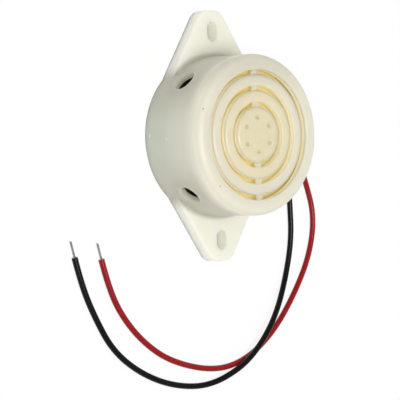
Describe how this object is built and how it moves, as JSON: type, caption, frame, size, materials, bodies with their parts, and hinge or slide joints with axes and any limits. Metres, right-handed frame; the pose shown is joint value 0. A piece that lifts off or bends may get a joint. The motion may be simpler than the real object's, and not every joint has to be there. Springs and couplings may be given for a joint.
{
  "type": "panel buzzer",
  "caption": "Round moulded buzzer with a slotted front, an ear with a screw slot on each side and two flying leads.",
  "frame": {"origin": "centre of the flat back of the round body", "axes": "+Z out of the slotted front, the way the sound leaves; +Y and -Y through the two ears; the leads leave at +X"},
  "size_m": [0.0613, 0.0727, 0.015],
  "materials": {
    "housing_plastic": "satin moulded off-white",
    "cover_plastic": "satin moulded off-white",
    "disc_brass": "rolled",
    "piezo": "fired, matt",
    "silver": "printed silver, matt",
    "bead_silicone": "soft, satin",
    "board": "lacquered green",
    "solder": "bright tin",
    "ferrite": "matt",
    "enamelled_copper": "enamelled",
    "tinned_leg": "bright tin",
    "case_black": "matt",
    "resistor_coat": "lacquered",
    "link_insulation": "soft",
    "lead_black": "soft, satin",
    "lead_red": "soft, satin",
    "tinned_strand": "tinned"
  },
  "bodies": {
    "root": {"housing": "housing_plastic", "back_cover": "cover_plastic", "diaphragm": "disc_brass", "piezo_ceramic": "piezo", "main_electrode": "silver", "feedback_electrode": "silver", "diaphragm_bead": "bead_silicone", "circuit_board": "board", "board_solder": "solder", "choke_core": "ferrite", "choke_winding": "enamelled_copper", "choke_pins": "tinned_leg", "transistor_body": "case_black", "transistor_legs": "tinned_leg", "link_solder": "solder", "brass_wire": "link_insulation", "main_wire": "link_insulation", "feedback_wire": "link_insulation", "black_lead": "lead_black", "red_lead": "lead_red", "black_lead_end": "tinned_strand", "red_lead_end": "tinned_strand", "black_lead_tail": "tinned_strand", "red_lead_tail": "tinned_strand", "bias_resistor": "resistor_coat", "bias_resistor_legs": "tinned_leg", "base_resistor": "resistor_coat", "base_resistor_legs": "tinned_leg", "feedback_resistor": "resistor_coat", "feedback_resistor_legs": "tinned_leg"}
  },
  "joints": []
}
